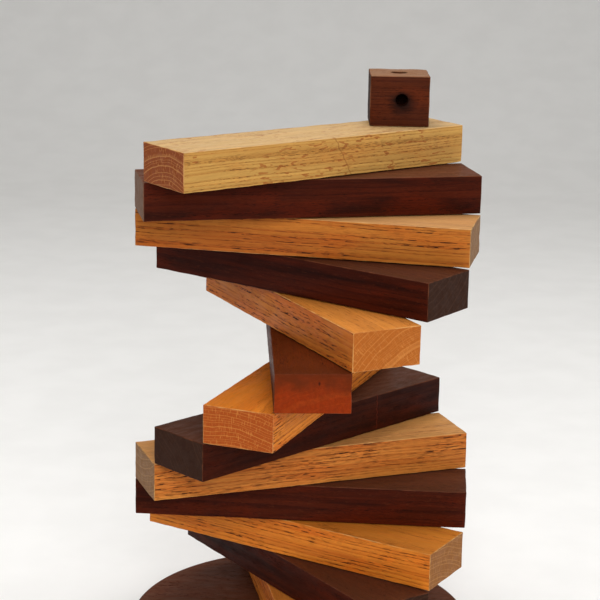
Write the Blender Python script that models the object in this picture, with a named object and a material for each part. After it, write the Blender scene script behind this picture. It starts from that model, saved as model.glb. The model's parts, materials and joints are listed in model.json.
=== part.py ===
"""A table-top burner tower: thirteen oak and walnut bars that fan round one steel spindle.

The bars swivel one by one over a round walnut base. A hollow walnut block on the top bar stands over
a brass dish for an incense cone, and it turns and lifts off. Metres, +Z up, the spindle on the Z axis.
"""

from math import cos, pi, radians, sin, tan

import bmesh
import bpy

# The bars and how they fan round
BAR_COUNT = 13
BAR_LENGTH = 0.254
BAR_WIDTH = 0.0546
BAR_HEIGHT = 0.0291
BAR_EDGE_EASE = 0.0007
SHADOW_GAP = 0.0006  # the dark line between one bar and the next
TOP_BAR_TURN = radians(36.0)
TWIST_STEP = radians(24.18)  # each bar is turned this much from the one under it
EXTRA_TURN = radians(2.5)  # two of the bars are set a little further round
EXTRA_TURN_OVER_BARS = (3, 9)

# The round base and its pads
BASE_DIAMETER = 0.266
BASE_THICKNESS = 0.022
BASE_TOP_ROUND = 0.003
BASE_BOTTOM_EASE = 0.001
PAD_COUNT = 4
PAD_DIAMETER = 0.024
PAD_THICKNESS = 0.0022
PAD_INSET = 0.012  # from the rim of the base to the edge of a pad
PAD_EDGE_EASE = 0.0005

# The spindle and what is on it
ROD_DIAMETER = 0.008
ROD_END_CHAMFER = 0.0008
ROD_PAST_NUT = 0.0015
RUNNING_CLEARANCE = 0.0003  # round a piece that turns or slides in another
SEAT_GAP = 0.0003  # between two faces that rest on each other
SWIVEL_WASHER_DIAMETER = 0.022
SWIVEL_WASHER_THICKNESS = 0.001
NUT_WASHER_DIAMETER = 0.0175
NUT_WASHER_THICKNESS = 0.0016
NUT_WALL = 0.0024  # least wall between the rod's hole and a flat of the nut
NUT_HEIGHT = 0.0068
NUT_COLLAR_HEIGHT = 0.0014
NUT_COLLAR_WALL = 0.0012
NUT_CORNER_SLOPE = radians(30)
COUNTERBORE_CLEARANCE = 0.003  # room for a socket wrench round the nut's washer
COUNTERBORE_SPARE_DEPTH = 0.0007
INSERT_WALL = 0.0019
INSERT_LENGTH = 0.018
INSERT_COLLAR = 0.0008  # how far its lip stands out past its shank
INSERT_COLLAR_THICKNESS = 0.0012

# The burner block on the top bar
BLOCK_WIDTH = 0.0454
BLOCK_DEPTH = 0.044
BLOCK_HEIGHT = 0.0384
BLOCK_EDGE_EASE = 0.0006
BLOCK_ALONG_BAR = 0.0895  # from the spindle to the block, along the top bar
BLOCK_ACROSS_BAR = 0.007
BLOCK_TURN_ON_BAR = radians(-35.8)
CHAMBER_DIAMETER = 0.028
CHAMBER_DEPTH = 0.0274
SMOKE_HOLE_DIAMETER = 0.0127
DRAUGHT_HOLE_DIAMETER = 0.0095
DRAUGHT_HOLE_HEIGHT = 0.0200  # from the block's underside to the hole's centre
DRAUGHT_HOLE_ASIDE = 0.0015

# The brass dish that the cone stands on, which is also the spigot that the block drops over
DISH_STANDING_HEIGHT = 0.0035
DISH_SINK = 0.0012
DISH_RIM = 0.002
DISH_EDGE_CHAMFER = 0.0004
DISH_SHANK_DIAMETER = 0.0095
DISH_SHANK_LENGTH = 0.008

CUT_PAST = 0.002  # how far a cutter runs out past the face that it opens
ROUND_SIDES = 32
RIM_SIDES = 96
ARC_STEPS = 6

# Heights and radii worked out from the sizes above
layerPitch = BAR_HEIGHT + SHADOW_GAP
baseBottom = PAD_THICKNESS + SEAT_GAP
baseTop = baseBottom + BASE_THICKNESS
rodRadius = ROD_DIAMETER / 2
rodBoreRadius = rodRadius + RUNNING_CLEARANCE
washerRecessRadius = SWIVEL_WASHER_DIAMETER / 2 + RUNNING_CLEARANCE
washerRecessDepth = SWIVEL_WASHER_THICKNESS + 2 * SEAT_GAP - SHADOW_GAP
insertRadius = rodBoreRadius + INSERT_WALL
insertTop = washerRecessDepth + INSERT_LENGTH  # above the underside of the top bar
counterboreRadius = NUT_WASHER_DIAMETER / 2 + COUNTERBORE_CLEARANCE
nutStackHeight = 2 * SEAT_GAP + NUT_WASHER_THICKNESS + NUT_HEIGHT + NUT_COLLAR_HEIGHT
counterboreDepth = nutStackHeight + ROD_PAST_NUT + COUNTERBORE_SPARE_DEPTH
dishShankRadius = DISH_SHANK_DIAMETER / 2
dishRadius = CHAMBER_DIAMETER / 2 - RUNNING_CLEARANCE


def barUnderside(level):
    """Height of the underside of a bar, counting the lowest bar as 1."""
    return baseTop + SHADOW_GAP + (level - 1) * layerPitch


def barTurn(level):
    """Turn of a bar about the spindle. Each bar is TWIST_STEP further round than the one under it."""
    stepsDown = BAR_COUNT - level
    extras = sum(1 for under in EXTRA_TURN_OVER_BARS if level <= under)
    return TOP_BAR_TURN - stepsDown * TWIST_STEP - extras * EXTRA_TURN


def isOak(level):
    return level % 2 == 1


def clearScene():
    for obj in list(bpy.data.objects):
        bpy.data.objects.remove(obj, do_unlink=True)


def makeMaterial(name, colour, roughness, metallic=0.0):
    material = bpy.data.materials.new(name)
    material.use_nodes = True
    shader = material.node_tree.nodes["Principled BSDF"]
    shader.inputs["Base Color"].default_value = (*colour, 1.0)
    shader.inputs["Roughness"].default_value = roughness
    shader.inputs["Metallic"].default_value = metallic
    return material


def makeEmpty(name, location=(0, 0, 0), turn=0.0, parent=None):
    empty = bpy.data.objects.new(name, None)
    bpy.context.scene.collection.objects.link(empty)
    empty.location = location
    empty.rotation_euler.z = turn
    empty.parent = parent
    return empty


def makeObject(name, mesh, material, location=(0, 0, 0), turn=0.0, parent=None):
    obj = bpy.data.objects.new(name, mesh)
    bpy.context.scene.collection.objects.link(obj)
    if material is not None:
        mesh.materials.append(material)
    obj.location = location
    obj.rotation_euler.z = turn
    obj.parent = parent
    return obj


def meshFrom(shape, name):
    bmesh.ops.recalc_face_normals(shape, faces=shape.faces)
    mesh = bpy.data.meshes.new(name)
    shape.to_mesh(mesh)
    shape.free()
    return mesh


def turnedMesh(name, profile, sides=ROUND_SIDES, ring=False):
    """Turns (radius, height) points round Z. A solid profile starts and ends on the axis; a ring's closes on itself."""
    shape = bmesh.new()
    columns = []
    for side in range(sides):
        angle = 2 * pi * side / sides
        column = []
        for index, (radius, height) in enumerate(profile):
            if radius == 0 and side > 0:
                column.append(columns[0][index])
            else:
                column.append(shape.verts.new((radius * cos(angle), radius * sin(angle), height)))
        columns.append(column)
    stretches = len(profile) if ring else len(profile) - 1
    for side in range(sides):
        here = columns[side]
        beside = columns[(side + 1) % sides]
        for low in range(stretches):
            high = (low + 1) % len(profile)
            corners = [here[low], beside[low], beside[high], here[high]]
            shape.faces.new(list(dict.fromkeys(corners)))
    mesh = meshFrom(shape, name)
    mesh.shade_smooth()
    mesh.set_sharp_from_angle(angle=radians(35))
    return mesh


def arc(centre, radius, start, end):
    """Points of an arc in a turned profile, angles from the outward direction towards up."""
    points = []
    for step in range(ARC_STEPS + 1):
        angle = start + (end - start) * step / ARC_STEPS
        points.append((centre[0] + radius * cos(angle), centre[1] + radius * sin(angle)))
    return points


def easedBoxMesh(name, length, width, height, ease):
    """A box that stands on its origin, with every edge rounded a little."""
    shape = bmesh.new()
    bmesh.ops.create_cube(shape, size=1.0)
    bmesh.ops.scale(shape, vec=(length, width, height), verts=shape.verts)
    bmesh.ops.translate(shape, vec=(0, 0, height / 2), verts=shape.verts)
    bmesh.ops.bevel(
        shape, geom=shape.edges[:], offset=ease, segments=2, profile=0.5, affect="EDGES"
    )
    return meshFrom(shape, name)


def cut(target, name, cutterMesh, operation="DIFFERENCE", location=(0, 0, 0)):
    """Cuts a shape, placed in the target's own frame, out of the target."""
    cutter = makeObject(name, cutterMesh, None, location=location, parent=target)
    cutter.hide_render = True
    cutter.display_type = "WIRE"
    modifier = target.modifiers.new(name, "BOOLEAN")
    modifier.operation = operation
    modifier.object = cutter
    return cutter


def washerMesh(name, radius, thickness):
    profile = [
        (rodBoreRadius, 0),
        (radius, 0),
        (radius, thickness),
        (rodBoreRadius, thickness),
    ]
    return turnedMesh(name, profile, ring=True)


def makeBase(material):
    radius = BASE_DIAMETER / 2
    topRoundCentre = (radius - BASE_TOP_ROUND, BASE_THICKNESS - BASE_TOP_ROUND)
    profile = [
        (rodBoreRadius, BASE_THICKNESS),
        (rodBoreRadius, counterboreDepth),
        (counterboreRadius, counterboreDepth),
        (counterboreRadius, 0),
        (radius - BASE_BOTTOM_EASE, 0),
        (radius, BASE_BOTTOM_EASE),
        *arc(topRoundCentre, BASE_TOP_ROUND, 0, pi / 2),
    ]
    mesh = turnedMesh("base", profile, sides=RIM_SIDES, ring=True)
    makeObject("base", mesh, material, location=(0, 0, baseBottom))


def makePads(material):
    padRadius = PAD_DIAMETER / 2
    padCircle = BASE_DIAMETER / 2 - PAD_INSET - padRadius
    mesh = turnedMesh(
        "foot_pad",
        [
            (0, 0),
            (padRadius, 0),
            (padRadius, PAD_THICKNESS - PAD_EDGE_EASE),
            (padRadius - PAD_EDGE_EASE, PAD_THICKNESS),
            (0, PAD_THICKNESS),
        ],
    )
    mesh.materials.append(material)
    for number in range(PAD_COUNT):
        angle = 2 * pi * (number + 0.5) / PAD_COUNT
        place = (padCircle * cos(angle), padCircle * sin(angle), 0)
        makeObject(f"foot_pad_{number + 1}", mesh, None, location=place)


def swivelBoreMesh(level):
    """Hollow on the spindle's axis: a washer recess, then a through bore, or a blind one in the top bar."""
    profile = [
        (0, -CUT_PAST),
        (washerRecessRadius, -CUT_PAST),
        (washerRecessRadius, washerRecessDepth),
    ]
    if level < BAR_COUNT:
        profile += [
            (rodBoreRadius, washerRecessDepth),
            (rodBoreRadius, BAR_HEIGHT + CUT_PAST),
            (0, BAR_HEIGHT + CUT_PAST),
        ]
    else:
        lipRadius = insertRadius + INSERT_COLLAR + RUNNING_CLEARANCE
        lipSeat = washerRecessDepth + SEAT_GAP + INSERT_COLLAR_THICKNESS
        profile += [
            (lipRadius, washerRecessDepth),
            (lipRadius, lipSeat + SEAT_GAP),
            (insertRadius + RUNNING_CLEARANCE, lipSeat + SEAT_GAP),
            (insertRadius + RUNNING_CLEARANCE, insertTop + SEAT_GAP),
            (0, insertTop + SEAT_GAP),
        ]
    return turnedMesh("swivel_bore", profile)


def makeBar(level, material):
    wood = "oak" if isOak(level) else "walnut"
    name = f"{wood}_bar_{level:02d}"
    mesh = easedBoxMesh(name, BAR_LENGTH, BAR_WIDTH, BAR_HEIGHT, BAR_EDGE_EASE)
    place = (0, 0, barUnderside(level))
    bar = makeObject(name, mesh, material, location=place, turn=barTurn(level))
    cut(bar, f"{name}_bore_cutter", swivelBoreMesh(level))
    return bar


def makeSwivelWasher(level, material):
    """The washer between a bar and what is under it, half hidden in the bar's recess."""
    mesh = washerMesh("swivel_washer", SWIVEL_WASHER_DIAMETER / 2, SWIVEL_WASHER_THICKNESS)
    underFace = barUnderside(level) - SHADOW_GAP
    place = (0, 0, underFace + SEAT_GAP)
    makeObject(f"swivel_washer_{level:02d}", mesh, material, location=place)


def makeSpindle(steel, brass):
    """The rod, its washer and lock nut in the base's counterbore, and the insert in the top bar."""
    counterboreTop = baseBottom + counterboreDepth
    washerBottom = counterboreTop - SEAT_GAP - NUT_WASHER_THICKNESS
    nutTop = washerBottom - SEAT_GAP
    nutBottom = nutTop - NUT_HEIGHT
    rodBottom = nutBottom - NUT_COLLAR_HEIGHT - ROD_PAST_NUT
    rodTop = barUnderside(BAR_COUNT) + insertTop

    rodLength = rodTop - rodBottom
    rodMesh = turnedMesh(
        "spindle_rod",
        [
            (0, 0),
            (rodRadius - ROD_END_CHAMFER, 0),
            (rodRadius, ROD_END_CHAMFER),
            (rodRadius, rodLength - ROD_END_CHAMFER),
            (rodRadius - ROD_END_CHAMFER, rodLength),
            (0, rodLength),
        ],
    )
    makeObject("spindle_rod", rodMesh, steel, location=(0, 0, rodBottom))

    nutWasherMesh = washerMesh("nut_washer", NUT_WASHER_DIAMETER / 2, NUT_WASHER_THICKNESS)
    makeObject("nut_washer", nutWasherMesh, steel, location=(0, 0, washerBottom))

    makeLockNut(steel, nutBottom)

    insertMesh = turnedMesh(
        "threaded_insert",
        [
            (rodBoreRadius, SEAT_GAP),
            (insertRadius + INSERT_COLLAR, SEAT_GAP),
            (insertRadius + INSERT_COLLAR, SEAT_GAP + INSERT_COLLAR_THICKNESS),
            (insertRadius, SEAT_GAP + INSERT_COLLAR_THICKNESS),
            (insertRadius, INSERT_LENGTH),
            (rodBoreRadius, INSERT_LENGTH),
        ],
        ring=True,
    )
    insertPlace = (0, 0, barUnderside(BAR_COUNT) + washerRecessDepth)
    makeObject("threaded_insert", insertMesh, brass, location=insertPlace)


def makeLockNut(material, nutBottom):
    """A hexagon with its corners turned off, and the round collar that grips the rod under it."""
    flatRadius = rodBoreRadius + NUT_WALL
    cornerRadius = flatRadius / cos(pi / 6)
    shape = bmesh.new()
    bmesh.ops.create_cone(
        shape,
        cap_ends=True,
        segments=6,
        radius1=cornerRadius,
        radius2=cornerRadius,
        depth=NUT_HEIGHT,
    )
    bmesh.ops.translate(shape, vec=(0, 0, NUT_HEIGHT / 2), verts=shape.verts)
    nut = makeObject("lock_nut", meshFrom(shape, "lock_nut"), material, location=(0, 0, nutBottom))

    # The two cones that take the corners off start at the flats, so they run past the hexagon on both sides.
    inner = flatRadius - CUT_PAST
    outer = cornerRadius + CUT_PAST
    innerDrop = (inner - flatRadius) * tan(NUT_CORNER_SLOPE)
    outerDrop = (outer - flatRadius) * tan(NUT_CORNER_SLOPE)
    corners = turnedMesh(
        "nut_corner_guide",
        [
            (0, innerDrop),
            (inner, innerDrop),
            (outer, outerDrop),
            (outer, NUT_HEIGHT - outerDrop),
            (inner, NUT_HEIGHT - innerDrop),
            (0, NUT_HEIGHT - innerDrop),
        ],
    )
    cut(nut, "nut_corner_guide", corners, operation="INTERSECT")
    collarRadius = rodBoreRadius + NUT_COLLAR_WALL
    collar = turnedMesh(
        "nut_collar_guide",
        [
            (0, -NUT_COLLAR_HEIGHT),
            (collarRadius, -NUT_COLLAR_HEIGHT),
            (collarRadius, NUT_HEIGHT / 2),
            (0, NUT_HEIGHT / 2),
        ],
    )
    cut(nut, "nut_collar_guide", collar, operation="UNION")
    bore = turnedMesh(
        "nut_bore_cutter",
        [
            (0, -NUT_COLLAR_HEIGHT - CUT_PAST),
            (rodBoreRadius, -NUT_COLLAR_HEIGHT - CUT_PAST),
            (rodBoreRadius, NUT_HEIGHT + CUT_PAST),
            (0, NUT_HEIGHT + CUT_PAST),
        ],
    )
    cut(nut, "nut_bore_cutter", bore)


def makeBurner(topBar, walnut, brass):
    """The dish in the top bar, and the hollow block that drops over it."""
    shankBore = turnedMesh(
        "dish_seat",
        [
            (0, -DISH_SHANK_LENGTH - SEAT_GAP),
            (dishShankRadius + RUNNING_CLEARANCE, -DISH_SHANK_LENGTH - SEAT_GAP),
            (dishShankRadius + RUNNING_CLEARANCE, CUT_PAST),
            (0, CUT_PAST),
        ],
    )
    burnerPlace = (BLOCK_ALONG_BAR, BLOCK_ACROSS_BAR, BAR_HEIGHT)
    cut(topBar, "dish_seat_cutter", shankBore, location=burnerPlace)
    burnerAxis = makeEmpty("burner_axis", burnerPlace, BLOCK_TURN_ON_BAR, topBar)

    dishMesh = turnedMesh(
        "ember_dish",
        [
            (0, -DISH_SHANK_LENGTH),
            (dishShankRadius, -DISH_SHANK_LENGTH),
            (dishShankRadius, SEAT_GAP),
            (dishRadius, SEAT_GAP),
            (dishRadius, DISH_STANDING_HEIGHT - DISH_EDGE_CHAMFER),
            (dishRadius - DISH_EDGE_CHAMFER, DISH_STANDING_HEIGHT),
            (dishRadius - DISH_RIM, DISH_STANDING_HEIGHT),
            (dishRadius - DISH_RIM - DISH_SINK, DISH_STANDING_HEIGHT - DISH_SINK),
            (0, DISH_STANDING_HEIGHT - DISH_SINK),
        ],
    )
    makeObject("ember_dish", dishMesh, brass, parent=burnerAxis)

    blockMesh = easedBoxMesh("burner_block", BLOCK_WIDTH, BLOCK_DEPTH, BLOCK_HEIGHT, BLOCK_EDGE_EASE)
    block = makeObject("burner_block", blockMesh, walnut, location=(0, 0, SEAT_GAP), parent=burnerAxis)
    chamber = turnedMesh(
        "chamber",
        [
            (0, -CUT_PAST),
            (CHAMBER_DIAMETER / 2, -CUT_PAST),
            (CHAMBER_DIAMETER / 2, CHAMBER_DEPTH),
            (SMOKE_HOLE_DIAMETER / 2, CHAMBER_DEPTH),
            (SMOKE_HOLE_DIAMETER / 2, BLOCK_HEIGHT + CUT_PAST),
            (0, BLOCK_HEIGHT + CUT_PAST),
        ],
    )
    cut(block, "chamber_cutter", chamber)
    draughtLength = BLOCK_DEPTH / 2 + CUT_PAST
    draught = turnedMesh(
        "draught_hole",
        [
            (0, 0),
            (DRAUGHT_HOLE_DIAMETER / 2, 0),
            (DRAUGHT_HOLE_DIAMETER / 2, draughtLength),
            (0, draughtLength),
        ],
    )
    draughtPlace = (DRAUGHT_HOLE_ASIDE, 0, DRAUGHT_HOLE_HEIGHT)
    draughtCutter = cut(block, "draught_hole_cutter", draught, location=draughtPlace)
    draughtCutter.rotation_euler.x = pi / 2  # from the middle of the chamber out through the front


def main():
    clearScene()
    oak = makeMaterial("oak", (0.60, 0.33, 0.12), 0.5)
    walnut = makeMaterial("walnut", (0.095, 0.035, 0.018), 0.45)
    steel = makeMaterial("steel", (0.55, 0.55, 0.56), 0.35, 1.0)
    brass = makeMaterial("brass", (0.72, 0.50, 0.20), 0.35, 1.0)
    felt = makeMaterial("felt", (0.05, 0.035, 0.03), 0.95)

    makeBase(walnut)
    makePads(felt)
    makeSpindle(steel, brass)
    topBar = None
    for level in range(1, BAR_COUNT + 1):
        makeSwivelWasher(level, steel)
        topBar = makeBar(level, oak if isOak(level) else walnut)
    makeBurner(topBar, walnut, brass)


main()
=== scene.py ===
import json
import math
import random

import bmesh
import bpy
from mathutils import Matrix, Vector, noise


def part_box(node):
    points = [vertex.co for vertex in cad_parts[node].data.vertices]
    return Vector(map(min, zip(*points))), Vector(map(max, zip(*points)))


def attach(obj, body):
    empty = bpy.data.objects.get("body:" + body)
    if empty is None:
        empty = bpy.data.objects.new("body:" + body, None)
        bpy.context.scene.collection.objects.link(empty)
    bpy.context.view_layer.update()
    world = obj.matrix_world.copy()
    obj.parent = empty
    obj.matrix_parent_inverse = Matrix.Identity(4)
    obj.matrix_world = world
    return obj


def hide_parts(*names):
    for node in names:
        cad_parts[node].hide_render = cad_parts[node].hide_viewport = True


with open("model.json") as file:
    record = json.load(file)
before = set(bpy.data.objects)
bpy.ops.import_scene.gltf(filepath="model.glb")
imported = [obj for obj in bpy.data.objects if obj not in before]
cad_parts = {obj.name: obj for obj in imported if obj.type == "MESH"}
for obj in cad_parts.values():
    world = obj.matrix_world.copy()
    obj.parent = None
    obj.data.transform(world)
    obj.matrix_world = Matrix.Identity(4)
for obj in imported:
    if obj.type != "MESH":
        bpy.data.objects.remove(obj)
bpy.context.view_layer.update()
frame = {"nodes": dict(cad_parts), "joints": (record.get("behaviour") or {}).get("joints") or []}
joints = {joint["name"]: joint for joint in frame["joints"]}
mm = 0.001
sharpAngle = math.radians(38)  # edges that turn more than this stay crisp
pastFace = 2 * mm  # how far a cutter runs out of the face it cuts


def paint(red, green, blue):
    # A colour as on a paint card, 0 to 255, turned into the light values that shaders take.
    values = []
    for share in (red / 255, green / 255, blue / 255):
        values.append(share / 12.92 if share < 0.04 else ((share + 0.055) / 1.055) ** 2.4)
    return (*values, 1.0)


# ---- small helpers for shader nodes ----

def add(tree, kind, values=None, **settings):
    made = tree.nodes.new(kind)
    for key, value in settings.items():
        setattr(made, key, value)
    for key, value in (values or {}).items():
        connect(tree, made.inputs[key], value)
    return made


def connect(tree, socket, value):
    if isinstance(value, bpy.types.NodeSocket):
        tree.links.new(value, socket)
    else:
        socket.default_value = value


def sums(tree, operation, *values, clamp=False):
    made = add(tree, "ShaderNodeMath", dict(enumerate(values)), operation=operation, use_clamp=clamp)
    return made.outputs[0]


def vectorSums(tree, operation, first, second):
    made = add(tree, "ShaderNodeVectorMath", {0: first, 1: second}, operation=operation)
    return made.outputs["Vector"]


def fade(tree, value, start, end, first=0.0, last=1.0):
    # Runs smoothly from first to last while value goes from start to end.
    values = {"Value": value, "From Min": start, "From Max": end, "To Min": first, "To Max": last}
    made = add(tree, "ShaderNodeMapRange", values, interpolation_type="SMOOTHSTEP")
    return made.outputs["Result"]


def mixed(tree, share, first, second, mode="MIX"):
    made = add(tree, "ShaderNodeMix", data_type="RGBA", blend_type=mode)
    connect(tree, made.inputs[0], share)
    connect(tree, made.inputs[6], first)
    connect(tree, made.inputs[7], second)
    return made.outputs[2]


def grainNoise(tree, place, stretch, detail=2.0, roughness=0.5, out="Fac"):
    # Noise drawn out by stretch: the size in millimetres of its blobs along each axis.
    shares = tuple(1.0 / size for size in stretch)
    scaled = vectorSums(tree, "MULTIPLY", place, shares)
    values = {"Vector": scaled, "Scale": 1.0, "Detail": detail, "Roughness": roughness}
    return add(tree, "ShaderNodeTexNoise", values).outputs[out]


def lineNoise(tree, value, size, seed):
    place = sums(tree, "MULTIPLY_ADD", value, 1.0 / size, seed)
    made = add(tree, "ShaderNodeTexNoise", {"W": place, "Scale": 1.0, "Detail": 1.0}, noise_dimensions="1D")
    return made.outputs["Fac"]


def newMaterial(name):
    material = bpy.data.materials.new(name)
    material.use_nodes = True
    tree = material.node_tree
    tree.nodes.clear()
    shader = add(tree, "ShaderNodeBsdfPrincipled")
    output = add(tree, "ShaderNodeOutputMaterial")
    tree.links.new(shader.outputs["BSDF"], output.inputs["Surface"])
    return material, tree, shader


def millimetres(tree):
    place = add(tree, "ShaderNodeTexCoord").outputs["Object"]
    made = add(tree, "ShaderNodeVectorMath", {0: place, "Scale": 1000.0}, operation="SCALE")
    return made.outputs["Vector"]


def bumped(tree, shader, height, distance, strength):
    values = {"Height": height, "Distance": distance, "Strength": strength}
    made = add(tree, "ShaderNodeBump", values)
    tree.links.new(made.outputs["Normal"], shader.inputs["Normal"])


# ---- wood ----

oak = {
    "late": paint(214, 140, 62),
    "early": paint(186, 104, 38),
    "deep": paint(170, 80, 20),
    # Painted light: the top colour is laid on the top faces to make them paler, for the light falling on
    # them.
    "top": paint(204, 150, 88),
    "pore": paint(60, 24, 6),
    "ray": paint(148, 78, 24),
    "end": paint(136, 70, 26),
    "endLine": paint(190, 130, 72),
    "endRay": paint(168, 104, 52),
    # The wear colour lightens the edges: partly rubbed wear, partly a painted highlight.
    "wear": paint(226, 176, 108),
    "litTopShare": 0.6,
    "topSmooth": 0.6,
    "figure": paint(214, 112, 34),
    "figureShare": 0.40,
    "endMottle": 0.14,
    "ringWidth": 3.2,  # millimetres, as all lengths here
    "wobble": 5.0,
    "poreLength": 7.5,
    "poreWidth": 0.68,
    "poreStart": 0.53,
    "poreFull": 0.575,
    "poreElsewhere": 0.22,
    "poreStrength": 1.0,
    "raySize": (9.0, 6.0, 0.6),
    "rayStart": 0.60,
    "rayStrength": 0.75,
    "rayPatches": 0.4,
    "fibreContrast": 0.22,
    "streakContrast": 0.6,
    "roughness": (0.42, 0.62),
    "shine": 0.15,
    "relief": 0.10,
}

walnut = {
    "late": paint(92, 42, 20),
    "early": paint(74, 30, 13),
    "deep": paint(42, 15, 6),
    # Painted light: the top colour is laid on the top faces to make them paler, for the light falling on
    # them.
    "top": paint(100, 58, 38),
    "pore": paint(20, 8, 4),
    "ray": paint(86, 40, 20),
    "end": paint(50, 28, 18),
    "endLine": paint(68, 43, 30),
    "endRay": paint(64, 40, 27),
    # The wear colour lightens the edges: partly rubbed wear, partly a painted highlight.
    "wear": paint(116, 66, 42),
    "litTopShare": 0.75,
    "topSmooth": 0.3,
    "figure": paint(108, 44, 15),
    "figureShare": 0.55,
    "endMottle": 0.40,
    "ringWidth": 5.2,
    "wobble": 8.0,
    "poreLength": 4.2,
    "poreWidth": 0.42,
    "poreStart": 0.56,
    "poreFull": 0.64,
    "poreElsewhere": 0.55,
    "poreStrength": 0.75,
    "raySize": (5.0, 4.0, 0.30),
    "rayStart": 0.64,
    "rayStrength": 0.25,
    "rayPatches": 0.0,
    "fibreContrast": 0.38,
    "streakContrast": 0.85,
    "roughness": (0.40, 0.60),
    "shine": 0.06,
    "relief": 0.05,
}


# How long, wide and high the patches of each kind of unevenness are, in millimetres.
patchSize = {
    "swing": (130.0, 26.0, 26.0),  # how the rings wander
    "figure": (48.0, 15.0, 15.0),
    "rayClusters": (38.0, 30.0, 30.0),
    "fibre": (22.0, 0.75, 0.75),
    "streak": (150.0, 10.0, 10.0),
    "endSpeckle": (0.5, 0.42, 0.42),
    "endMottle": (3.4, 2.6, 2.6),
    "rubbing": (9.0, 9.0, 9.0),
    "polish": (14.0, 5.0, 5.0),
}
faceDepth = 0.9  # how deep into the wood a face's own colour reaches


def boxMasks(tree, coordinates, size):
    # How near a place is to the faces of a block, and to its edges.
    nearFace = []
    for value, length in zip(coordinates, size):
        distance = sums(tree, "ABSOLUTE", value)
        nearFace.append(fade(tree, distance, length / 2 - faceDepth, length / 2 - faceDepth / 4))
    pairs = [
        sums(tree, "MULTIPLY", nearFace[0], nearFace[1]),
        sums(tree, "MULTIPLY", nearFace[1], nearFace[2]),
        sums(tree, "MULTIPLY", nearFace[0], nearFace[2]),
    ]
    edges = sums(tree, "MAXIMUM", sums(tree, "MAXIMUM", pairs[0], pairs[1]), pairs[2])
    # This top face mask carries the painted paler colour for the light falling on the top.
    topFace = fade(tree, coordinates[2], size[2] / 2 - faceDepth, size[2] / 2 - faceDepth / 4)
    return nearFace[0], edges, topFace


def growWood(tree, wood, look, place):
    # A solid block of wood: rings round a heart line, pores and rays that run with them.
    seed = look["seed"]
    heartAcross, heartUp = look["heart"]
    shifted = vectorSums(tree, "ADD", place, (seed * 37.0, seed * 11.0, seed * 5.0))
    x, y, z = add(tree, "ShaderNodeSeparateXYZ", {0: place}).outputs
    swing = grainNoise(tree, shifted, patchSize["swing"], out="Color")
    swing = vectorSums(tree, "SUBTRACT", swing, (0.5, 0.5, 0.5))
    _, swingAcross, swingUp = add(tree, "ShaderNodeSeparateXYZ", {0: swing}).outputs
    wobble = wood["wobble"] * look.get("wobble", 1.0)
    across = sums(tree, "MULTIPLY_ADD", swingAcross, wobble, sums(tree, "SUBTRACT", y, heartAcross))
    up = sums(tree, "MULTIPLY_ADD", swingUp, wobble, sums(tree, "SUBTRACT", z, heartUp))
    flat = add(tree, "ShaderNodeCombineXYZ", {0: 0.0, 1: across, 2: up}).outputs[0]
    fromHeart = add(tree, "ShaderNodeVectorMath", {0: flat}, operation="LENGTH").outputs["Value"]
    turn = sums(tree, "ARCTAN2", up, across)
    around = sums(tree, "MULTIPLY", turn, max(20.0, math.hypot(heartAcross, heartUp)))

    ringWidth = wood["ringWidth"] * look.get("ringWidth", 1.0)
    uneven = lineNoise(tree, fromHeart, 3.4 * ringWidth, seed)
    grown = sums(tree, "MULTIPLY_ADD", uneven, 3.0 * ringWidth, fromHeart)
    rings = sums(tree, "DIVIDE", grown, ringWidth)
    ring = sums(tree, "FRACT", rings)
    ringNumber = sums(tree, "FLOOR", rings)
    shade = add(tree, "ShaderNodeTexWhiteNoise", {"W": ringNumber}, noise_dimensions="1D")
    start = fade(tree, ring, 0.0, 0.10)
    early = sums(tree, "MULTIPLY", start, fade(tree, ring, 0.14, 0.55, 1.0, 0.0))
    endLine = sums(tree, "MULTIPLY", start, fade(tree, ring, 0.10, 0.26, 1.0, 0.0))

    grain = add(tree, "ShaderNodeCombineXYZ", {0: x, 1: fromHeart, 2: around}).outputs[0]
    grain = vectorSums(tree, "ADD", grain, (seed * 91.0, seed * 17.0, seed * 29.0))
    poreSize = (wood["poreLength"], wood["poreWidth"], wood["poreWidth"])
    pores = grainNoise(tree, grain, poreSize, detail=1.0)
    pores = fade(tree, pores, wood["poreStart"], wood["poreFull"])
    sparse = wood["poreElsewhere"]
    rows = sums(tree, "MULTIPLY_ADD", early, 1.0 - sparse, sparse)
    patches = grainNoise(tree, shifted, patchSize["figure"])
    dense = fade(tree, patches, 0.36, 0.56, 0.35, 1.0)
    pores = sums(tree, "MULTIPLY", sums(tree, "MULTIPLY", pores, rows), dense)
    rays = grainNoise(tree, grain, wood["raySize"], detail=1.0)
    rays = fade(tree, rays, wood["rayStart"], wood["rayStart"] + 0.04)
    clusters = grainNoise(tree, shifted, patchSize["rayClusters"], detail=0.0)
    clusters = fade(tree, clusters, 0.40, 0.56, 1.0 - wood["rayPatches"], 1.0)
    rays = sums(tree, "MULTIPLY", rays, clusters)
    fibre = grainNoise(tree, shifted, patchSize["fibre"], detail=3.0, roughness=0.65)
    streak = grainNoise(tree, shifted, patchSize["streak"], detail=3.0, roughness=0.6)
    return {
        "coordinates": (x, y, z),
        "shifted": shifted,
        "early": early,
        "endLine": endLine,
        "patches": patches,
        "ringTone": shade.outputs["Value"],
        "pores": pores,
        "rays": rays,
        "fibre": fibre,
        "streak": streak,
    }


def brightness(tree, value, contrast):
    # A grey round 1 that a colour is multiplied by.
    level = sums(tree, "MULTIPLY_ADD", value, 2 * contrast, 1.0 - contrast)
    return add(tree, "ShaderNodeCombineXYZ", {0: level, 1: level, 2: level}).outputs[0]


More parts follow.
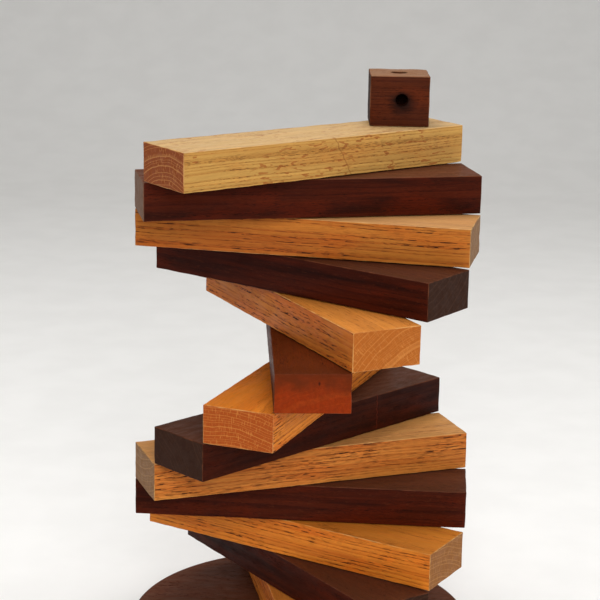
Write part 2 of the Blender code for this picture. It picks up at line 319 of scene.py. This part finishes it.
def faceColour(tree, wood, look, grown, topFace):
    early = sums(tree, "MULTIPLY", grown["early"], 0.75)
    colour = mixed(tree, early, wood["late"], wood["early"])
    streak = fade(tree, grown["streak"], 0.34, 0.72)
    streak = sums(tree, "MULTIPLY", streak, wood["streakContrast"] * look.get("streaks", 1.0))
    colour = mixed(tree, streak, colour, wood["deep"])
    patches = fade(tree, grown["patches"], 0.46, 0.68, 0.0, wood["figureShare"])
    colour = mixed(tree, patches, colour, wood["figure"])
    colour = mixed(tree, 1.0, colour, look["tone"], "MULTIPLY")
    # Painted light: the top faces are made paler, standing in for the overhead light and sheen that fall on
    # them.
    colour = mixed(tree, sums(tree, "MULTIPLY", topFace, wood["litTopShare"]), colour, wood["top"])
    colour = mixed(tree, 1.0, colour, brightness(tree, grown["ringTone"], 0.07), "MULTIPLY")
    fibre = brightness(tree, grown["fibre"], wood["fibreContrast"])
    colour = mixed(tree, 1.0, colour, fibre, "MULTIPLY")
    rays = sums(tree, "MULTIPLY", grown["rays"], wood["rayStrength"] * look.get("rays", 1.0))
    colour = mixed(tree, rays, colour, wood["ray"])
    pores = sums(tree, "MULTIPLY", grown["pores"], wood["poreStrength"] * look.get("pores", 1.0))
    smoothTop = sums(tree, "MULTIPLY_ADD", topFace, -wood["topSmooth"], 1.0)
    pores = sums(tree, "MULTIPLY", pores, smoothTop)
    return mixed(tree, pores, colour, wood["pore"])


def endColour(tree, wood, grown):
    lines = sums(tree, "MULTIPLY", grown["endLine"], 0.65)
    colour = mixed(tree, lines, wood["end"], wood["endLine"])
    speckle = grainNoise(tree, grown["shifted"], patchSize["endSpeckle"], detail=1.0)
    colour = mixed(tree, 1.0, colour, brightness(tree, speckle, 0.22), "MULTIPLY")
    mottle = grainNoise(tree, grown["shifted"], patchSize["endMottle"], detail=4.0, roughness=0.65)
    colour = mixed(tree, 1.0, colour, brightness(tree, mottle, wood["endMottle"]), "MULTIPLY")
    return mixed(tree, sums(tree, "MULTIPLY", grown["rays"], 0.55), colour, wood["endRay"])


def woodMaterial(name, wood, look, size, disc=False, marks=()):
    wood = {**wood, **look.get("wood", {})}
    material, tree, shader = newMaterial(name)
    place = millimetres(tree)
    if disc:
        place, glueLine = gluedBoards(tree, place)
    grown = growWood(tree, wood, look, place)
    if disc:
        endShare, edges, topFace = discMasks(tree, size)
    else:
        endShare, edges, topFace = boxMasks(tree, grown["coordinates"], size)
    face = faceColour(tree, wood, look, grown, topFace)
    colour = mixed(tree, endShare, face, endColour(tree, wood, grown))
    # Lighter edges: partly real rubbed wear, partly a painted highlight along the arrises.
    wearAndHighlight = grainNoise(tree, grown["shifted"], patchSize["rubbing"])
    wearAndHighlight = fade(tree, wearAndHighlight, 0.38, 0.62, 0.15, 0.75)
    colour = mixed(tree, sums(tree, "MULTIPLY", edges, wearAndHighlight), colour, wood["wear"])
    low, high = wood["roughness"]
    rough = grainNoise(tree, grown["shifted"], patchSize["polish"], detail=3.0)
    rough = fade(tree, rough, 0.3, 0.7, low, high)
    rough = sums(tree, "MULTIPLY_ADD", grown["pores"], 0.2, rough)
    rough = sums(tree, "MULTIPLY_ADD", endShare, 0.1, rough)
    if disc:
        colour = mixed(tree, glueLine, colour, wood["pore"])
    for mark in marks:
        colour, rough = mark(tree, grown, colour, rough)
    tree.links.new(colour, shader.inputs["Base Color"])
    tree.links.new(rough, shader.inputs["Roughness"])
    shader.inputs["Specular IOR Level"].default_value = wood["shine"]
    fibre = sums(tree, "MULTIPLY", grown["fibre"], 0.35)
    height = sums(tree, "MULTIPLY_ADD", grown["pores"], -1.0, fibre)
    bumped(tree, shader, height, wood["relief"] * mm, 0.8)
    return material


boards = {"count": 3, "width": 89.0, "glueLine": 0.18}  # the base is glued up from these


def gluedBoards(tree, place):
    x, y, z = add(tree, "ShaderNodeSeparateXYZ", {0: place}).outputs
    along = sums(tree, "MULTIPLY_ADD", y, 1.0 / boards["width"], boards["count"] / 2)
    number = sums(tree, "FLOOR", along)
    share = sums(tree, "FRACT", along)
    toJoint = sums(tree, "ABSOLUTE", sums(tree, "SUBTRACT", share, 0.5))
    halfLine = boards["glueLine"] / boards["width"]
    glueLine = fade(tree, toJoint, 0.5 - halfLine, 0.5 - halfLine / 3, 0.0, 0.7)
    ownX = sums(tree, "MULTIPLY_ADD", number, 5.0, x)
    ownY = sums(tree, "MULTIPLY", sums(tree, "SUBTRACT", share, 0.5), boards["width"])
    ownZ = sums(tree, "MULTIPLY_ADD", number, 61.0, z)
    place = add(tree, "ShaderNodeCombineXYZ", {0: ownX, 1: ownY, 2: ownZ}).outputs[0]
    return place, glueLine


def discMasks(tree, size):
    # End grain shows on the rim where the boards' ends are.
    whole = millimetres(tree)
    x, y, z = add(tree, "ShaderNodeSeparateXYZ", {0: whole}).outputs
    flat = add(tree, "ShaderNodeCombineXYZ", {0: x, 1: y, 2: 0.0}).outputs[0]
    radius = add(tree, "ShaderNodeVectorMath", {0: flat}, operation="LENGTH").outputs["Value"]
    onRim = fade(tree, radius, size[0] / 2 - 2.6, size[0] / 2 - 0.6)
    facing = fade(tree, sums(tree, "ABSOLUTE", x), size[0] * 0.22, size[0] * 0.46)
    endShare = sums(tree, "MULTIPLY", onRim, facing)
    edges = sums(tree, "MULTIPLY", onRim, 0.25)
    # This top face mask carries the painted paler colour for the light falling on the top.
    topFace = fade(tree, z, size[2] - 1.6, size[2] - 0.3)
    return endShare, edges, topFace


# ---- turned and worked shapes ----

def turnedMesh(name, profile, sides=64, ring=False):
    # Turns (radius, height) points round Z, in metres.
    shape = bmesh.new()
    columns = []
    for side in range(sides):
        angle = 2 * math.pi * side / sides
        column = []
        for index, (radius, height) in enumerate(profile):
            if radius == 0 and side > 0:
                column.append(columns[0][index])
            else:
                column.append(shape.verts.new((radius * math.cos(angle), radius * math.sin(angle), height)))
        columns.append(column)
    stretches = len(profile) if ring else len(profile) - 1
    for side in range(sides):
        here = columns[side]
        beside = columns[(side + 1) % sides]
        for low in range(stretches):
            high = (low + 1) % len(profile)
            corners = [here[low], beside[low], beside[high], here[high]]
            shape.faces.new(list(dict.fromkeys(corners)))
    return finishedMesh(name, shape)


def finishedMesh(name, shape):
    bmesh.ops.recalc_face_normals(shape, faces=shape.faces)
    mesh = bpy.data.meshes.new(name)
    shape.to_mesh(mesh)
    shape.free()
    mesh.shade_smooth()
    mesh.set_sharp_from_angle(angle=sharpAngle)
    return mesh


def placed(name, mesh, where):
    piece = bpy.data.objects.new(name, mesh)
    bpy.context.scene.collection.objects.link(piece)
    piece.matrix_world = where
    return piece


def carve(piece, cutterMeshes):
    # Cuts each shape, given in the piece's own frame, and keeps the result as a plain mesh.
    cutters = []
    for number, (mesh, where) in enumerate(cutterMeshes):
        cutter = placed(f"cutter{number}", mesh, piece.matrix_world @ where)
        cutters.append(cutter)
        modifier = piece.modifiers.new(f"cut{number}", "BOOLEAN")
        modifier.object = cutter
    bpy.context.view_layer.update()
    graph = bpy.context.evaluated_depsgraph_get()
    cutMesh = bpy.data.meshes.new_from_object(piece.evaluated_get(graph))
    piece.modifiers.clear()
    piece.data = cutMesh
    for cutter in cutters:
        bpy.data.objects.remove(cutter)
    cutMesh.shade_smooth()
    cutMesh.set_sharp_from_angle(angle=sharpAngle)


def evenNormals(piece):
    modifier = piece.modifiers.new("evenNormals", "WEIGHTED_NORMAL")
    modifier.keep_sharp = True


blockWear = {
    "ripple": 0.05,  # how far planed faces dip
    "edgeLoss": 0.32,  # how much more the arrises have rounded here and there
    "dents": 7,
    "dentDepth": 0.45,
    "dentReach": 4.5,
}


def workedBlock(name, size, ease, rows, seed, wear=blockWear):
    # A sawn and sanded block, centred on its origin, with softened and slightly dented edges.
    chance = random.Random(seed)
    half = [length / 2 * mm for length in size]
    shape = bmesh.new()
    bmesh.ops.create_cube(shape, size=2.0)
    bmesh.ops.scale(shape, vec=half, verts=shape.verts)
    bmesh.ops.bevel(
        shape, geom=shape.edges[:], offset=ease * mm, segments=3, profile=0.5, affect="EDGES"
    )
    for axis in range(3):
        direction = Vector((0, 0, 0))
        direction[axis] = 1
        for row in range(1, rows[axis]):
            inner = half[axis] - ease * mm * 1.5
            spot = direction * (inner * (2 * row / rows[axis] - 1))
            geometry = shape.verts[:] + shape.edges[:] + shape.faces[:]
            bmesh.ops.bisect_plane(shape, geom=geometry, plane_co=spot, plane_no=direction)
    shape.normal_update()
    dents = []
    for _ in range(wear["dents"]):
        spot = Vector([chance.choice((-1, 1)) * length for length in half])
        free = chance.choice((0, 0, 0, 1, 2))
        spot[free] = chance.uniform(-1, 1) * half[free]
        dents.append((spot, chance.uniform(0.4, 1.0)))
    shift = Vector((seed * 3.1, seed * 1.7, seed * 0.9))
    moves = []
    for vert in shape.verts:
        where = vert.co * 1000
        depth = wear["ripple"] * (0.5 + 0.5 * noise.noise(where / 22 + shift))
        onFaces = sum(abs(vert.co[axis]) > half[axis] - ease * mm * 1.05 for axis in range(3))
        if onFaces > 1:
            depth += wear["edgeLoss"] * max(0.0, 0.35 + noise.noise(where / 9 + shift))
        for spot, share in dents:
            away = (vert.co - spot).length / mm
            if away < wear["dentReach"]:
                depth += wear["dentDepth"] * share * (1 - away / wear["dentReach"]) ** 2
        moves.append((vert, vert.normal * (-depth * mm)))
    for vert, move in moves:
        vert.co += move
    return finishedMesh(name, shape)


def squareFrame(node, like=None):
    # The middle, the directions and the size of a square-sided CAD node.
    mesh = frame["nodes"][node].data
    upright = [face for face in mesh.polygons if abs(face.normal.z) < 0.01]
    across = max(upright, key=lambda face: face.area).normal.copy()
    along = Vector((across.y, -across.x, 0)).normalized()
    if like is not None and along.dot(like) < 0:
        along.negate()
    across = Vector((-along.y, along.x, 0))
    spreadAlong = [vert.co.dot(along) for vert in mesh.vertices]
    spreadAcross = [vert.co.dot(across) for vert in mesh.vertices]
    spreadUp = [vert.co.z for vert in mesh.vertices]
    middle = Vector((0, 0, (min(spreadUp) + max(spreadUp)) / 2))
    middle += along * (min(spreadAlong) + max(spreadAlong)) / 2
    middle += across * (min(spreadAcross) + max(spreadAcross)) / 2
    where = Matrix((along, across, (0, 0, 1))).transposed().to_4x4()
    where.translation = middle
    size = [(max(spread) - min(spread)) / mm for spread in (spreadAlong, spreadAcross, spreadUp)]
    return where, size, along


# ---- marks that only some pieces have ----

endZone = (100.0, 120.0)  # a mark on a bar's end fades in between these, in millimetres from its middle
sideZone = (24.0, 26.0)

def knotMark(centre, reach, colour):
    # A small tight knot in an end, at (across, up) in millimetres.
    def draw(tree, grown, before, rough):
        x, y, z = grown["coordinates"]
        place = add(tree, "ShaderNodeCombineXYZ", {0: 0.0, 1: y, 2: z}).outputs[0]
        away = vectorSums(tree, "SUBTRACT", place, (0.0, *centre))
        away = vectorSums(tree, "MULTIPLY", away, (1.0, 1.0, 0.6))
        distance = add(tree, "ShaderNodeVectorMath", {0: away}, operation="LENGTH").outputs["Value"]
        ragged = grainNoise(tree, grown["shifted"], (1.2, 1.2, 1.2), detail=3.0)
        distance = sums(tree, "MULTIPLY_ADD", ragged, reach * 0.9, distance)
        share = fade(tree, distance, reach * 0.5, reach * 1.3, 0.85, 0.0)
        atEnd = fade(tree, x, *endZone)
        share = sums(tree, "MULTIPLY", share, atEnd)
        return mixed(tree, share, before, colour), rough
    return draw


def paintedShadowMark(start, full, colour, strength):
    # Painted shadow: an end that darkens unevenly towards its top.
    def draw(tree, grown, before, rough):
        x, _, z = grown["coordinates"]
        ragged = grainNoise(tree, grown["shifted"], (9.0, 9.0, 9.0), detail=4.0)
        height = sums(tree, "MULTIPLY_ADD", sums(tree, "SUBTRACT", ragged, 0.5), 22.0, z)
        share = fade(tree, height, start, full, 0.0, strength)
        share = sums(tree, "MULTIPLY", share, fade(tree, x, *endZone))
        return mixed(tree, share, before, colour), rough
    return draw


def lineMark(start, slope, width, side, colour, strength):
    # A thin line up one long side: a mineral streak or a scratch.
    def draw(tree, grown, before, rough):
        x, y, z = grown["coordinates"]
        ragged = grainNoise(tree, grown["shifted"], (60.0, 60.0, 3.0), detail=3.0)
        line = sums(tree, "MULTIPLY_ADD", z, slope, start)
        line = sums(tree, "MULTIPLY_ADD", ragged, 5.0, line)
        away = sums(tree, "ABSOLUTE", sums(tree, "SUBTRACT", x, line))
        share = fade(tree, away, width * 0.3, width, strength, 0.0)
        onSide = fade(tree, sums(tree, "MULTIPLY", y, side), *sideZone)
        share = sums(tree, "MULTIPLY", share, onSide)
        return mixed(tree, share, before, colour), rough
    return draw


def sootMark(centre, spread, reach, colour, strength, stretch=(1.0, 1.0, 1.0)):
    # Soot that thins out from a hole's mouth.
    def draw(tree, grown, before, rough):
        x, y, z = grown["coordinates"]
        place = add(tree, "ShaderNodeCombineXYZ", {0: x, 1: y, 2: z}).outputs[0]
        away = vectorSums(tree, "SUBTRACT", place, centre)
        away = vectorSums(tree, "MULTIPLY", away, stretch)
        distance = add(tree, "ShaderNodeVectorMath", {0: away}, operation="LENGTH").outputs["Value"]
        drift = grainNoise(tree, grown["shifted"], (7.0, 7.0, 4.0), detail=3.0)
        distance = sums(tree, "MULTIPLY_ADD", drift, 5.0, distance)
        share = fade(tree, distance, spread + 2.5, reach + 2.5, strength, 0.0)
        rough = sums(tree, "MULTIPLY_ADD", share, 0.3, rough)
        return mixed(tree, share, before, colour), rough
    return draw


# ---- the bars ----

barShape = {
    "ease": 0.85,
    "rows": (56, 9, 5),
    "boreRadius": 4.3,
    "recessRadius": 11.3,
    "recessDepth": 1.0,
    "insertBore": 6.5,
    "insertDepth": 19.3,
    "dishBore": 5.05,
    "dishDepth": 8.3,
}


# The top colour given here is painted light: a paler tint for the light falling on a bar's top.
def ownColours(top, end, endLine):
    return {"top": paint(*top), "end": paint(*end), "endLine": paint(*endLine), "endRay": paint(*endLine)}


# Each bar from the top down: where the tree's heart lay (across and up, millimetres), what its
# sides' colours are multiplied by, the paler colour painted on its top for the light falling there,
# and the colours of its ends and the lines in them.
barLooks = [
    {
        "heart": (-6.0, -62.0), "tone": (0.86, 0.90, 0.86, 1), "wobble": 1.2, "seed": 1.3, "pores": 0.6,
        "wood": {
            **ownColours((202, 172, 126), (130, 62, 22), (192, 132, 76)),
            "late": paint(210, 158, 84), "early": paint(188, 130, 62), "deep": paint(180, 116, 50),
            "poreLength": 4.0, "poreWidth": 0.40, "figureShare": 0.15, "streakContrast": 0.4,
            "ray": paint(152, 84, 34), "raySize": (7.5, 3.8, 0.9), "rayStart": 0.61, "rayPatches": 1.0,
        },
    },
    {
        "heart": (60.0, -90.0), "tone": (0.62, 0.38, 0.28, 1), "seed": 2.1,
        # Painted highlight: this bar's end colours are pale and greyish for the glare of the side lights.
        "wood": ownColours((104, 60, 38), (112, 84, 68), (130, 102, 84)),
    },
    {
        "heart": (14.0, -78.0), "tone": (0.76, 0.65, 0.45, 1), "seed": 3.7, "rays": 0.25,
        # Painted highlight: this bar's end colours are pale and greyish for the glare of the side lights.
        "wood": ownColours((202, 160, 106), (128, 92, 58), (164, 128, 88)),
    },
    {
        "heart": (-50.0, 70.0), "tone": (0.52, 0.30, 0.22, 1), "seed": 4.4,
        "wood": ownColours((78, 43, 27), (50, 28, 18), (68, 43, 30)),
    },
    {
        "heart": (48.0, -66.0), "tone": (0.80, 0.64, 0.38, 1), "seed": 5.9, "rays": 0.2,
        "ringWidth": 0.8, "wood": ownColours((216, 142, 62), (170, 92, 28), (202, 130, 62)),
    },
    {
        "heart": (30.0, -110.0), "tone": (1.00, 0.78, 0.60, 1), "seed": 6.2,
        "wood": ownColours((104, 44, 14), (134, 44, 7), (144, 54, 13)),
    },
    {
        "heart": (-12.0, -120.0), "tone": (1.14, 0.96, 0.55, 1), "seed": 7.6, "rays": 0.4,
        "ringWidth": 0.75,
        "wood": ownColours((220, 122, 32), (160, 72, 18), (204, 128, 58)),
    },
    {
        "heart": (-70.0, -60.0), "tone": (0.40, 0.28, 0.24, 1), "seed": 8.1,
        "wood": ownColours((94, 58, 41), (50, 28, 18), (66, 41, 28)),
    },
    {
        "heart": (-20.0, 84.0), "tone": (0.95, 0.88, 0.80, 1), "seed": 9.5, "rays": 0.2,
        "wood": {
            **ownColours((216, 164, 98), (126, 88, 54), (164, 128, 86)),
            "poreStart": 0.50, "poreFull": 0.55, "poreElsewhere": 0.4,
        },
    },
    {"heart": (40.0, 95.0), "tone": (0.66, 0.42, 0.32, 1), "seed": 10.8},
    {
        "heart": (26.0, -90.0), "tone": (1.14, 0.92, 0.48, 1), "seed": 11.2, "rays": 0.2,
        "wood": ownColours((220, 140, 52), (140, 88, 42), (184, 132, 76)),
    },
    {"heart": (-44.0, -84.0), "tone": (0.58, 0.38, 0.30, 1), "seed": 12.9},
    {
        "heart": (8.0, -70.0), "tone": (1.06, 0.84, 0.46, 1), "seed": 13.4, "rays": 0.4,
        "wood": ownColours((204, 128, 56), (164, 88, 30), (208, 140, 72)),
    },
]

barMarks = {
    1: [lineMark(9.0, -0.55, 0.8, -1, paint(128, 74, 30), 0.55)],
    6: [
        # Painted shadow darkening the top of this bar's end.
        paintedShadowMark(-5.0, 12.0, paint(84, 34, 10), 0.8),
        knotMark((4.4, 7.5), 1.5, paint(34, 12, 6)),
    ],
    8: [lineMark(-56.0, 0.0, 0.7, 1, paint(110, 40, 22), 0.35)],
}


def barCutters(size, fromTop):
    under = -size[2] / 2 * mm
    top = size[2] / 2 * mm
    recess = barShape["recessRadius"] * mm
    recessTop = under + barShape["recessDepth"] * mm
    if fromTop > 1:
        bore = barShape["boreRadius"] * mm
        boreTop = top + pastFace
    else:
        bore = barShape["insertBore"] * mm
        boreTop = under + barShape["insertDepth"] * mm
    profile = [(0, under - pastFace), (recess, under - pastFace), (recess, recessTop)]
    profile += [(bore, recessTop), (bore, boreTop), (0, boreTop)]
    return turnedMesh("boreCutter", profile, sides=48)


def makeBars():
    names = sorted(
        (name for name in frame["nodes"] if "_bar_" in name), key=lambda name: -int(name[-2:])
    )
    along = Vector((1, 0, 0))
    for fromTop, name in enumerate(names, start=1):
        where, size, along = squareFrame(name, like=along)
        look = barLooks[fromTop - 1]
        wood = oak if name.startswith("oak") else walnut
        mesh = workedBlock(f"{name}_wood", size, barShape["ease"], barShape["rows"], fromTop)
        bar = placed(f"{name}_wood", mesh, where)
        middle = where.inverted() @ Vector((0, 0, where.translation.z))
        cutters = [(barCutters(size, fromTop), Matrix.Translation(middle))]
        if fromTop == 1:
            seat = where.inverted() @ Vector(joints["dish_swivel"]["pos_m"])
            seatRadius = barShape["dishBore"] * mm
            low = -barShape["dishDepth"] * mm
            profile = [(0, low), (seatRadius, low), (seatRadius, pastFace), (0, pastFace)]
            cutters.append((turnedMesh("seatCutter", profile, sides=48), Matrix.Translation(seat)))
        carve(bar, cutters)
        evenNormals(bar)
        bar.data.materials.append(
            woodMaterial(f"{name}_grain", wood, look, size, marks=barMarks.get(fromTop, ()))
        )
        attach(bar, f"bar_{name[-2:]}")
        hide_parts(name)
    print("bars made:", len(names))


# ---- the burner ----

blockShape = {
    "seed": 21,
    "ease": 0.7,
    "rows": (14, 14, 12),
    "chamberRadius": 14.0,
    "chamberDepth": 27.4,
    "smokeRadius": 6.35,
    "smokeChamfer": 0.5,
    "draughtRadius": 4.75,
    "draughtHeight": 20.0,
    "draughtAside": 1.5,
    "draughtChamfer": 0.35,
}
blockLook = {
    "heart": (20.0, -60.0),
    "tone": (0.80, 0.72, 0.60, 1),
    "seed": 14.6,
    "streaks": 0.5,
    "wood": {
        "wobble": 3.0,
        "ringWidth": 2.4,
        "fibreContrast": 0.46,
        # Painted light: a paler top colour for the light falling on the block's top.
        "top": paint(150, 108, 76),
        "litTopShare": 0.8,
        # The wear colour lightens the edges: partly rubbed wear, partly a painted highlight.
        "wear": paint(150, 92, 60),
    },
}


def makeBurnerBlock():
    where, size, _ = squareFrame("burner_block", like=Vector((1, 0, 0)))
    mesh = workedBlock("burner_block_wood", size, blockShape["ease"], blockShape["rows"], blockShape["seed"])
    block = placed("burner_block_wood", mesh, where)
    under = -size[2] / 2 * mm
    top = size[2] / 2 * mm
    front = -size[1] / 2 * mm
    chamber = blockShape["chamberRadius"] * mm
    ceiling = under + blockShape["chamberDepth"] * mm
    smoke = blockShape["smokeRadius"] * mm
    flare = blockShape["smokeChamfer"] * mm
    profile = [(0, under - pastFace), (chamber, under - pastFace), (chamber, ceiling)]
    profile += [(smoke, ceiling), (smoke, top - flare)]
    profile += [(smoke + flare + pastFace, top + pastFace), (0, top + pastFace)]
    chamberMesh = turnedMesh("chamberCutter", profile, sides=64)
    draught = blockShape["draughtRadius"] * mm
    widened = blockShape["draughtChamfer"] * mm
    mouth = -front
    profile = [(0, 0), (draught, 0), (draught, mouth - widened)]
    profile += [(draught + widened + pastFace, mouth + pastFace), (0, mouth + pastFace)]
    draughtMesh = turnedMesh("draughtCutter", profile, sides=48)
    height = under + blockShape["draughtHeight"] * mm
    aside = Matrix.Translation((blockShape["draughtAside"] * mm, 0, height))
    towardsFront = Matrix.Rotation(math.pi / 2, 4, "X")
    carve(block, [(chamberMesh, Matrix.Identity(4)), (draughtMesh, aside @ towardsFront)])
    evenNormals(block)
    soot = paint(20, 13, 11)
    hole = (blockShape["draughtAside"], -size[1] / 2, blockShape["draughtHeight"] - size[2] / 2)
    drift = (hole[0] + 0.6, hole[1], hole[2] - 2.4)
    marks = [
        sootMark(drift, 3.0, 12.5, soot, 0.85, stretch=(0.85, 1.0, 1.0)),
        sootMark(hole, 3.6, 6.4, soot, 0.7),
        sootMark((0.0, 0.0, size[2] / 2), 5.4, 7.4, soot, 0.55),
        sootMark((0.0, 0.0, -4.0), 11.0, 16.0, soot, 0.93),
    ]
    block.data.materials.append(woodMaterial("burner_block_grain", walnut, blockLook, size, marks=marks))
    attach(block, "burner_block")
    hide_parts("burner_block")
    print("burner block made")


# ---- the base ----

baseShape = {
    "topRound": 3.0,
    "bottomEase": 1.0,
    "boreRadius": 4.3,
    "counterboreRadius": 11.75,
    "counterboreDepth": 12.6,
    "sides": 192,
}
baseLook = {"heart": (12.0, -54.0), "tone": (0.82, 0.66, 0.56, 1), "seed": 15.2, "streaks": 0.8}


def makeBase():
    low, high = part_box("base")
    radius = (high.x - low.x) / 2
    thickness = high.z - low.z
    rounding = baseShape["topRound"] * mm
    ease = baseShape["bottomEase"] * mm
    bore = baseShape["boreRadius"] * mm
    counterbore = baseShape["counterboreRadius"] * mm
    depth = baseShape["counterboreDepth"] * mm
    profile = [(bore, thickness), (bore, depth), (counterbore, depth), (counterbore, 0)]
    for step in range(1, 7):
        profile.append((counterbore + (radius - ease - counterbore) * step / 6, 0))
    profile.append((radius, ease))
    for step in range(9):
        angle = math.pi / 2 * step / 8
        reach = radius - rounding + rounding * math.cos(angle)
        profile.append((reach, thickness - rounding + rounding * math.sin(angle)))
    for step in range(1, 12):
        profile.append((radius - rounding - (radius - rounding - bore) * step / 12, thickness))
    mesh = turnedMesh("base_wood", profile, sides=baseShape["sides"], ring=True)
    base = placed("base_wood", mesh, Matrix.Translation((0, 0, low.z)))
    size = (2 * radius / mm, 2 * radius / mm, thickness / mm)
    base.data.materials.append(woodMaterial("base_grain", walnut, baseLook, size, disc=True))
    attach(base, "base")
    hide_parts("base")
    print("base made")


# ---- metal and felt on the CAD nodes ----

metals = {
    "zinc": {"colour": paint(172, 172, 170), "dull": paint(120, 120, 118), "roughness": (0.28, 0.48)},
    "brass": {"colour": paint(206, 164, 84), "dull": paint(128, 88, 44), "roughness": (0.24, 0.52)},
}


def turnedMetal(name, metal, centre, sooty=0.0):
    # Metal with fine turning marks round its own axis, dulled in patches.
    material, tree, shader = newMaterial(name)
    place = vectorSums(tree, "SUBTRACT", millimetres(tree), (centre[0] / mm, centre[1] / mm, 0.0))
    x, y, z = add(tree, "ShaderNodeSeparateXYZ", {0: place}).outputs
    flat = add(tree, "ShaderNodeCombineXYZ", {0: x, 1: y, 2: 0.0}).outputs[0]
    radius = add(tree, "ShaderNodeVectorMath", {0: flat}, operation="LENGTH").outputs["Value"]
    rings = lineNoise(tree, radius, 0.16, 3.0)
    dulled = fade(tree, grainNoise(tree, place, (4.0, 4.0, 4.0), detail=4.0), 0.42, 0.68)
    colour = mixed(tree, dulled, metal["colour"], metal["dull"])
    if sooty:
        burnt = fade(tree, radius, 4.0, 12.0, sooty, 0.1)
        colour = mixed(tree, burnt, colour, paint(34, 26, 22))
    low, high = metal["roughness"]
    rough = sums(tree, "MULTIPLY_ADD", dulled, high - low, low)
    tree.links.new(colour, shader.inputs["Base Color"])
    tree.links.new(rough, shader.inputs["Roughness"])
    shader.inputs["Metallic"].default_value = 1.0
    bumped(tree, shader, rings, 0.00002, 0.5)
    return material


def feltMaterial(name):
    material, tree, shader = newMaterial(name)
    place = millimetres(tree)
    fluff = grainNoise(tree, place, (0.35, 0.35, 0.35), detail=5.0, roughness=0.7)
    patches = grainNoise(tree, place, (4.0, 4.0, 1.0), detail=2.0)
    colour = mixed(tree, fade(tree, fluff, 0.3, 0.7), paint(46, 36, 32), paint(82, 66, 58))
    colour = mixed(tree, fade(tree, patches, 0.4, 0.7, 0.0, 0.4), colour, paint(38, 30, 27))
    tree.links.new(colour, shader.inputs["Base Color"])
    shader.inputs["Roughness"].default_value = 0.95
    shader.inputs["Sheen Weight"].default_value = 0.4
    bumped(tree, shader, fluff, 0.0004, 0.9)
    return material


def dressNodes():
    dishCentre = joints["dish_swivel"]["pos_m"]
    zinc = turnedMetal("zinc_plate", metals["zinc"], (0, 0))
    insertBrass = turnedMetal("insert_brass", metals["brass"], (0, 0))
    dishBrass = turnedMetal("dish_brass", metals["brass"], dishCentre, sooty=0.7)
    felt = feltMaterial("felt")
    for name, node in frame["nodes"].items():
        if node.hide_render:
            continue
        if name.startswith("foot_pad"):
            chosen = felt
        elif name == "ember_dish":
            chosen = dishBrass
        elif name == "threaded_insert":
            chosen = insertBrass
        else:
            chosen = zinc
        node.data.materials.clear()
        node.data.materials.append(chosen)
    print("hardware finished")


# ---- camera, lights and floor ----

cameraView = {
    "place": (-4.5, -1332.3, 625.0),  # millimetres
    "down": 14.42,  # degrees below level
    "roll": 1.08,
    "lens": 108.7,
}
lights = [
    {"name": "overhead", "place": (-0.10, 0.30, 1.95), "size": 1.3, "power": 21.0},
    {"name": "front", "place": (0.25, -1.80, 1.20), "size": 1.0, "power": 23.0},
    {"name": "left", "place": (-1.6, 0.1, 0.7), "size": 0.8, "power": 4.0},
    {"name": "right", "place": (1.6, 0.2, 0.75), "size": 0.8, "power": 6.0},
]
floorShape = {"back": 3.0, "front": 8.0, "side": 16.0, "bend": 1.2, "height": 3.2}


def makeCamera():
    camera = bpy.data.objects.new("camera", bpy.data.cameras.new("camera"))
    bpy.context.scene.collection.objects.link(camera)
    place = Vector(cameraView["place"]) * mm
    tilt = Matrix.Rotation(math.radians(90 - cameraView["down"]), 4, "X")
    roll = Matrix.Rotation(math.radians(cameraView["roll"]), 4, "Z")
    camera.matrix_world = Matrix.Translation(place) @ tilt @ roll
    camera.data.lens = cameraView["lens"]
    camera.data.clip_end = 50
    bpy.context.scene.camera = camera


def makeLights():
    target = Vector((0, 0, 0.22))
    for light in lights:
        data = bpy.data.lights.new(light["name"], "AREA")
        data.size = light["size"]
        data.energy = light["power"]
        lamp = bpy.data.objects.new(light["name"], data)
        bpy.context.scene.collection.objects.link(lamp)
        lamp.location = light["place"]
        lamp.rotation_euler = (target - lamp.location).to_track_quat("-Z", "Y").to_euler()
    world = bpy.data.worlds.new("room")
    bpy.context.scene.world = world
    world.use_nodes = True
    background = world.node_tree.nodes["Background"]
    background.inputs["Color"].default_value = (1.0, 0.99, 0.97, 1.0)
    background.inputs["Strength"].default_value = 0.30


def makeFloor():
    # A floor that bends up into a backdrop.
    shape = bmesh.new()
    bend = floorShape["bend"]
    reach = floorShape["back"]
    line = [(-floorShape["front"], 0.0), (reach - bend, 0.0)]
    for step in range(1, 13):
        angle = math.pi / 2 * step / 12
        line.append((reach - bend + bend * math.sin(angle), bend - bend * math.cos(angle)))
    line.append((reach, floorShape["height"]))
    rows = []
    for y, z in line:
        rows.append([shape.verts.new((side * floorShape["side"] / 2, y, z)) for side in (-1, 1)])
    for first, second in zip(rows, rows[1:]):
        shape.faces.new((first[0], first[1], second[1], second[0]))
    floor = placed("floor", finishedMesh("floor", shape), Matrix.Identity(4))
    material, tree, shader = newMaterial("floor_paint")
    grit = grainNoise(tree, millimetres(tree), (60.0, 60.0, 60.0), detail=3.0)
    colour = mixed(tree, fade(tree, grit, 0.3, 0.7), (0.88, 0.87, 0.85, 1), (0.91, 0.90, 0.88, 1))
    tree.links.new(colour, shader.inputs["Base Color"])
    shader.inputs["Roughness"].default_value = 0.8
    floor.data.materials.append(material)


makeCamera()
makeLights()
makeFloor()
makeBase()
makeBars()
makeBurnerBlock()
dressNodes()
bpy.context.scene.view_settings.view_transform = "Standard"
